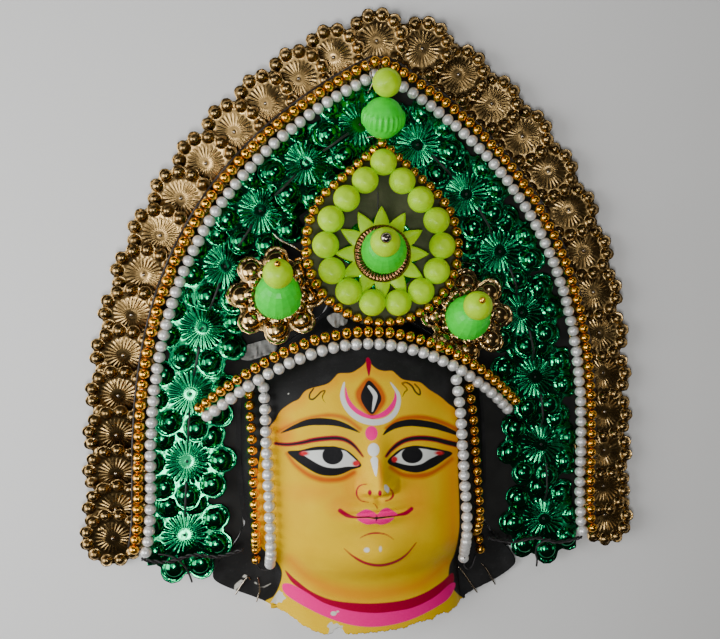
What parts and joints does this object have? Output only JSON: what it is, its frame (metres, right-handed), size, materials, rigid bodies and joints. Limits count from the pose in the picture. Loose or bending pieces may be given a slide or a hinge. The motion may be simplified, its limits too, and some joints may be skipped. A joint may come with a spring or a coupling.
{
  "type": "chhau mask",
  "caption": "Painted papier-mache dance mask face under a tall pointed crown of stamped foil flowers, strung pearls, gilt beads and plastic balls.",
  "frame": {"origin": "middle of the footprint, on the surface that the mask lies on", "axes": "+Y from the neck to the crown's tip, +Z out of the face, +X to the right as one looks at the face"},
  "size_m": [0.3968, 0.4268, 0.0909],
  "materials": {
    "gilt_bead": "gilt plated bead, bright",
    "pearl": "imitation pearl lacquer",
    "crown_card": "dark card, matt",
    "painted_face": "painted papier-mache, satin yellow with black, crimson and white brushwork, chipped at the edges",
    "lime_plastic": "yellow-green plastic, satin",
    "green_plastic": "bright green moulded plastic, satin",
    "green_foil": "stamped green metallised foil, bright",
    "pin_metal": "dull metal bead",
    "gold_foil": "stamped gold metallised foil, bright",
    "black_wire": "black lacquered binding wire"
  },
  "bodies": {
    "root": {"brow_gilt_beads": "gilt_bead", "brow_pearls": "pearl", "crown_board": "crown_card", "face_mask": "painted_face", "finial_ball": "lime_plastic", "finial_bead": "green_plastic", "green_flower_01": "green_foil", "green_flower_02": "green_foil", "green_flower_03": "green_foil", "green_flower_04": "green_foil", "green_flower_05": "green_foil", "green_flower_06": "green_foil", "green_flower_07": "green_foil", "green_flower_08": "green_foil", "green_flower_09": "green_foil", "green_flower_10": "green_foil", "green_flower_11": "green_foil", "green_flower_12": "green_foil", "green_flower_13": "green_foil", "green_flower_14": "green_foil", "green_flower_15": "green_foil", "medallion_balls": "lime_plastic", "medallion_bead": "green_plastic", "medallion_card": "crown_card", "medallion_flower": "green_foil", "medallion_gilt_beads": "gilt_bead", "medallion_pin": "pin_metal", "medallion_star": "lime_plastic", "medallion_top_ball": "lime_plastic", "medallion_washer": "gilt_bead", "rim_flowers_01": "gold_foil", "rim_flowers_02": "gold_foil", "rim_flowers_03": "gold_foil", "rim_flowers_04": "gold_foil", "rim_flowers_05": "gold_foil", "rim_flowers_06": "gold_foil", "rim_flowers_07": "gold_foil", "rim_flowers_08": "gold_foil", "rim_flowers_09": "gold_foil", "rim_flowers_10": "gold_foil", "rim_gilt_beads": "gilt_bead", "rim_pearls": "pearl", "rim_wire": "black_wire", "rosette_ball_left": "lime_plastic", "rosette_ball_right": "lime_plastic", "rosette_bead_left": "green_plastic", "rosette_bead_right": "green_plastic", "rosette_flower_left": "gold_foil", "rosette_flower_right": "gold_foil", "rosette_small_flower_left": "gold_foil", "rosette_small_flower_right": "gold_foil", "string_gilt_left": "gilt_bead", "string_gilt_right": "gilt_bead", "string_pearls_left": "pearl", "string_pearls_right": "pearl", "tie_wire_left": "black_wire", "tie_wire_right": "black_wire"}
  },
  "joints": []
}
